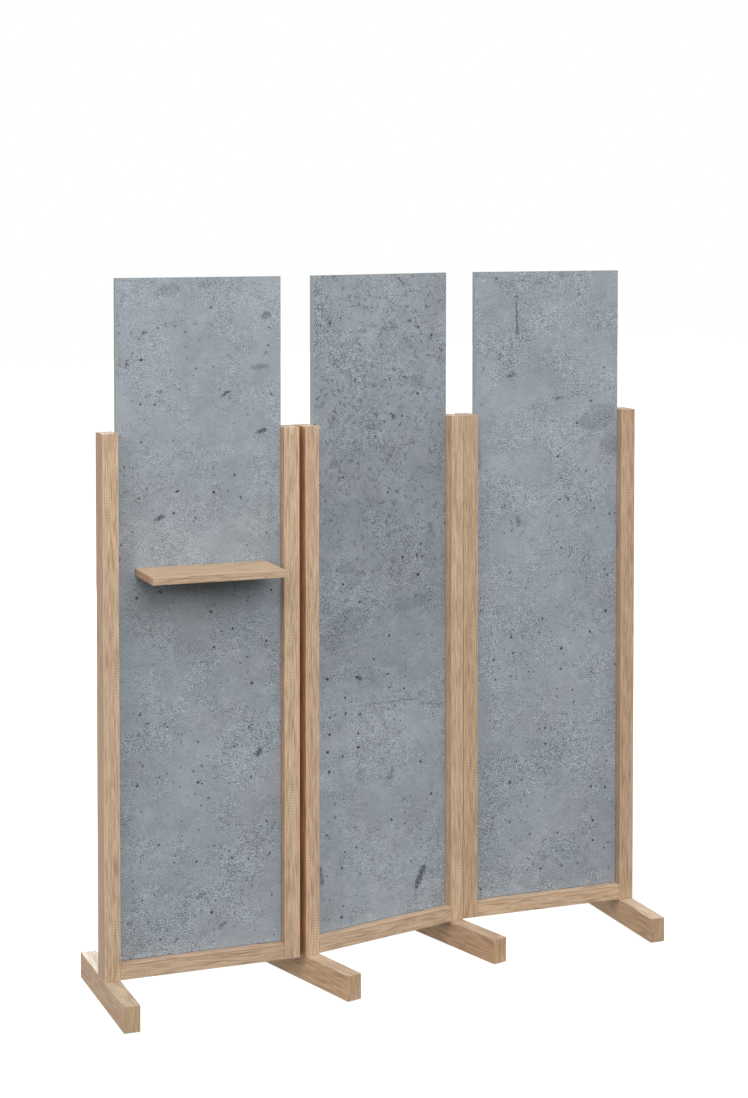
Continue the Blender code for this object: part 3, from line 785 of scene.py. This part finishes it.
def dress_wall():
    """Dress every CAD node that stays visible. A piece's place in the sorted names seeds its decor."""
    joinery = beech("beech")
    lacquer = bronze_lacquer("bronze_lacquer")
    pads = felt("felt")
    for seed, node in enumerate(sorted(frame["nodes"])):
        kind = node.split("_")[-1]
        tone = OAK_TONES.get(node, 1.0)
        faces = OAK_FACE_LIGHT.get(node, OAK_FACE_LIGHT.get(kind))
        if kind == "board":
            dress(node, concrete(node, seed, **BOARDS[node]))
        elif kind == "post":
            # Painted highlights along the posts' front edges; the middle screen's right post gets painted
            # shade instead along its right edge, at the seam with the right screen
            arrises = (OAK_PALE, OAK_SHADE_LINE if node == "middle_screen_right_post" else OAK_PALE)
            dress(node, oak(node, "Z", "Y", seed, tone, faces, arrises,
                            shaded_left=node == "middle_screen_left_post"))
        elif kind in ("rail", "shelf"):
            dress(node, oak(node, "X", "Y", seed, tone, faces, ledge=kind == "rail"))
        elif kind == "foot":
            dress(node, oak(node, "Y", "Z", seed, tone, faces))
        elif node.endswith("_dowel") or node.endswith("_spline"):
            dress(node, joinery)
        elif node.endswith("_glide"):
            dress(node, pads)
        elif "_hinge_" in node:
            dress(node, lacquer)


def turned(profile, sides):
    """A round solid about Z from (radius, height) points that run from its top to its bottom."""
    form = bmesh.new()
    rings = []
    for radius, height in profile:
        if radius == 0.0:
            rings.append([form.verts.new((0.0, 0.0, height))])
        else:
            turns = [2 * pi * (side + FIRST_CORNER) / sides for side in range(sides)]
            rings.append([form.verts.new((radius * cos(turn), radius * sin(turn), height)) for turn in turns])
    for upper, lower in zip(rings, rings[1:]):
        for side in range(sides):
            following = (side + 1) % sides
            if len(upper) == 1:
                form.faces.new((upper[0], lower[side], lower[following]))
            elif len(lower) == 1:
                form.faces.new((upper[following], upper[side], lower[0]))
            else:
                form.faces.new((upper[side], lower[side], lower[following], upper[following]))
    return form


def cross(width, arm, depth):
    """A cross-shaped recess cutter that narrows downwards, standing on Z from -depth to depth."""
    form = bmesh.new()
    half = width / 2
    arm_corners = ((half, half), (arm, half), (arm, -half))
    outline = []
    for turn in range(4):
        spin = Matrix.Rotation(-turn * pi / 2, 2)
        outline.extend(spin @ Vector(point) for point in arm_corners)
    levels = [[form.verts.new((x * size, y * size, height)) for x, y in outline]
              for height, size in ((depth, 1.45), (-depth, 0.55))]
    form.faces.new(levels[0])
    form.faces.new(reversed(levels[1]))
    for index in range(len(outline)):
        following = (index + 1) % len(outline)
        form.faces.new((levels[0][following], levels[0][index], levels[1][index], levels[1][following]))
    bmesh.ops.recalc_face_normals(form, faces=form.faces)
    return form


def hexagon(across_flats, depth):
    """A hexagonal socket cutter from -depth to depth."""
    form = bmesh.new()
    radius = across_flats / sqrt(3)
    bmesh.ops.create_cone(form, cap_ends=True, segments=6, radius1=radius, radius2=radius, depth=2 * depth)
    return form


def add_solid(name, form, places):
    """An object with a copy of the form at each place, which is a matrix in the row frame."""
    joined = bmesh.new()
    mesh = bpy.data.meshes.new(name)
    for place in places:
        copy = form.copy()
        bmesh.ops.transform(copy, matrix=place, verts=copy.verts)
        copy.to_mesh(mesh)
        copy.free()
        joined.from_mesh(mesh)
    joined.to_mesh(mesh)
    joined.free()
    form.free()
    mesh.shade_smooth()
    mesh.set_sharp_from_angle(angle=SMOOTH_UP_TO)
    solid = bpy.data.objects.new(name, mesh)
    bpy.context.scene.collection.objects.link(solid)
    return solid


def cut(piece, cutter, body):
    """Cut a hidden tool out of a piece. The tool rides along, so the cut holds at every pose."""
    cutter.hide_render = True
    cutter.display_type = "WIRE"
    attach(cutter, body)
    boolean = piece.modifiers.new(cutter.name, "BOOLEAN")
    boolean.operation = "DIFFERENCE"
    boolean.object = cutter
    # where the tool just touches an edge of the piece the cut leaves a sliver without area
    weld = piece.modifiers.new(f"{cutter.name}_weld", "WELD")
    weld.merge_threshold = CUT_WELD


def add_recessed(name, form, recess, tops, body, material):
    """Fasteners with a driver recess in the top of each. tops are the matrices of their head tops."""
    piece = add_solid(name, form, tops)
    piece.data.materials.append(material)
    cut(piece, add_solid(f"{name}_recess", recess, tops), body)
    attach(piece, body)
    return piece


def thread(radius, core, pitch, top, bottom):
    """Profile points of a threaded shank, from its top to its bottom."""
    points = []
    for turn in range(int((top - bottom) / pitch)):
        height = top - turn * pitch
        points += [(core, height), (radius, height - 0.4 * pitch), (radius, height - 0.55 * pitch)]
    return points


def foot_bolt(length):
    """A socket bolt: its head top at the origin, its shank down -Z, so it is used upside down."""
    head = [(0.0, 0.0), (0.0060, 0.0), (0.0065, -0.0005), (0.0065, -0.0047), (0.0062, -0.0050)]
    shank = [(BOLT_RADIUS, -0.0050), (BOLT_RADIUS, -BOLT_SHANK)]
    grooves = thread(BOLT_RADIUS, BOLT_CORE, BOLT_PITCH, -BOLT_SHANK - 0.0005, 0.002 - length)
    tip = [(0.0033, 0.0015 - length), (0.0028, -length), (0.0, -length)]
    return turned(head + shank + grooves + tip, FASTENER_SIDES)


def pan_screw(length):
    """A pan-head wood screw: its head top at the origin, its shank down -Z."""
    head = [(0.0, 0.0), (0.0018, -0.0001), (0.0032, -0.0005), (0.0041, -0.0012), (0.0045, -0.0020),
            (0.0045, -0.0025)]
    shank = [(SCREW_RADIUS, -0.0026), (SCREW_RADIUS, -SCREW_SHANK)]
    grooves = thread(SCREW_RADIUS, SCREW_CORE, SCREW_PITCH, -SCREW_SHANK - 0.0005, 0.003 - length)
    tip = [(0.0008, 0.0015 - length), (0.0, -length)]
    return turned(head + shank + grooves + tip, FASTENER_SIDES)


def countersunk_head():
    """The flat head of a hinge screw: its top at the origin."""
    head = [(0.0, 0.0), (0.0026, 0.0), (0.00275, -0.0001), (0.0015, -0.00125), (0.0, -0.00125)]
    return turned(head, LEAF_SCREW_SIDES)


def countersink():
    """The cutter for a hinge screw's seat, whose rim is at the origin's height."""
    seat = [(0.0, 0.001), (0.0031, 0.001), (0.0031, 0.0), (0.0017, -0.0012), (0.0, -0.0012)]
    return turned(seat, LEAF_SCREW_SIDES)


def aim(point, direction):
    """The matrix that stands a form at a point with its Z along direction."""
    return Matrix.Translation(point) @ Vector(direction).to_track_quat("Z", "Y").to_matrix().to_4x4()


def add_foot_bolts(zinc):
    for node in sorted(frame["nodes"]):
        if not node.endswith("_bolt"):
            continue
        low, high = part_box(node)
        foot = Vector(((low.x + high.x) / 2, (low.y + high.y) / 2, low.z))
        piece = add_recessed(f"{node}_socket_head", foot_bolt(high.z - low.z), hexagon(0.006, 0.0035),
                             [aim(foot, (0.0, 0.0, -1.0))], screen_of(node), zinc)
        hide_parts(node)


def add_shelf_screws(zinc):
    for node in ("shelf_left_screw", "shelf_right_screw"):
        low, high, space = local_box(node)
        back = space.inverted()
        top = Vector(((low.x + high.x) / 2, high.y, (low.z + high.z) / 2))
        piece = add_recessed(f"{node}_pan_head", pan_screw(high.y - low.y), cross(0.0009, 0.0022, 0.0015),
                             [back @ aim(top, (0.0, 1.0, 0.0))], screen_of(node), zinc)
        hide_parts(node)


def add_leaf_screws(zinc):
    """Countersink each hinge leaf and sink three screw heads in it."""
    for node in sorted(frame["nodes"]):
        if not node.endswith("_leaf"):
            continue
        low, high, space = local_box(node)
        joint = next(joint for joint in frame["joints"] if joint["name"].startswith(node.split("_")[0]))
        pin = space @ Vector(joint["pos_m"])
        inwards = 1.0 if high.y > pin.y + LEAF_SCREWS[0][1] else -1.0
        side = 1.0 if high.x - pin.x > pin.x - low.x else -1.0
        middle = (low.z + high.z) / 2
        faces = [Vector((pin.x + side * LEAF_FACE, pin.y + inwards * distance, middle + height))
                 for height, distance in LEAF_SCREWS]
        tops = [space.inverted() @ aim(face, (-side, 0.0, 0.0)) for face in faces]
        body = screen_of(node)
        cut(frame["nodes"][node], add_solid(f"{node}_countersinks", countersink(), tops), body)
        add_recessed(f"{node}_screws", countersunk_head(), cross(0.0007, 0.0016, 0.0009), tops, body,
                     zinc)


def add_fasteners():
    zinc = bright_zinc("bright_zinc")
    add_foot_bolts(zinc)
    add_shelf_screws(zinc)
    add_leaf_screws(zinc)


def add_floor():
    """A pale floor. Its bounce is left to the lower half of the studio, so that it stays soft."""
    bpy.ops.mesh.primitive_plane_add(size=40.0, location=(0.0, 0.0, 0.0))
    floor = bpy.context.object
    floor.name = "floor"
    floor.visible_diffuse = False
    floor.visible_shadow = False
    graph = Graph("floor")
    graph.shader.inputs["Emission Color"].default_value = (1.0, 1.0, 1.0, 1.0)
    floor.data.materials.append(graph.finish(FLOOR_COLOUR, 0.8, Emission_Strength=FLOOR_GLOW))


def add_world():
    """A soft dome that is brightest overhead and dark below the horizon, and a white backdrop."""
    world = bpy.data.worlds.new("studio")
    bpy.context.scene.world = world
    world.use_nodes = True
    tree = world.node_tree
    tree.nodes.clear()
    source = tree.nodes.new("ShaderNodeTexCoord")
    split = tree.nodes.new("ShaderNodeSeparateXYZ")
    tree.links.new(source.outputs["Generated"], split.inputs[0])
    height = tree.nodes.new("ShaderNodeMapRange")
    tree.links.new(split.outputs[2], height.inputs[0])
    height.inputs["From Min"].default_value = -1.0
    ramp = tree.nodes.new("ShaderNodeValToRGB")
    set_stops(ramp, [(position, (strength, strength, strength)) for position, strength in DOME])
    tree.links.new(height.outputs[0], ramp.inputs[0])
    dome = tree.nodes.new("ShaderNodeBackground")
    tree.links.new(ramp.outputs[0], dome.inputs["Color"])
    backdrop = tree.nodes.new("ShaderNodeBackground")
    backdrop.inputs["Color"].default_value = (1.0, 1.0, 1.0, 1.0)
    path = tree.nodes.new("ShaderNodeLightPath")
    mix = tree.nodes.new("ShaderNodeMixShader")
    tree.links.new(path.outputs["Is Camera Ray"], mix.inputs[0])
    tree.links.new(dome.outputs[0], mix.inputs[1])
    tree.links.new(backdrop.outputs[0], mix.inputs[2])
    output = tree.nodes.new("ShaderNodeOutputWorld")
    tree.links.new(mix.outputs[0], output.inputs[0])


def add_softbox(name, place, power):
    """A square area light aimed at the wall's middle."""
    light = bpy.data.lights.new(name, "AREA")
    light.shape = "SQUARE"
    light.size = SOFTBOX_SIZE
    light.energy = power
    lamp = bpy.data.objects.new(name, light)
    bpy.context.scene.collection.objects.link(lamp)
    lamp.location = place
    lamp.rotation_euler = (SOFTBOX_AIM - Vector(place)).to_track_quat("-Z", "Y").to_euler()


def add_camera():
    data = bpy.data.cameras.new("camera")
    data.lens = LENS
    data.shift_y = SHIFT_UP
    camera = bpy.data.objects.new("camera", data)
    bpy.context.scene.collection.objects.link(camera)
    camera.location = CAMERA_PLACE
    camera.rotation_euler = CAMERA_TURN
    bpy.context.scene.camera = camera


dress_wall()
add_fasteners()
add_floor()
add_world()
for name, (place, power) in SOFTBOXES.items():
    add_softbox(name, place, power)
add_camera()
bpy.context.scene.view_settings.view_transform = "Standard"
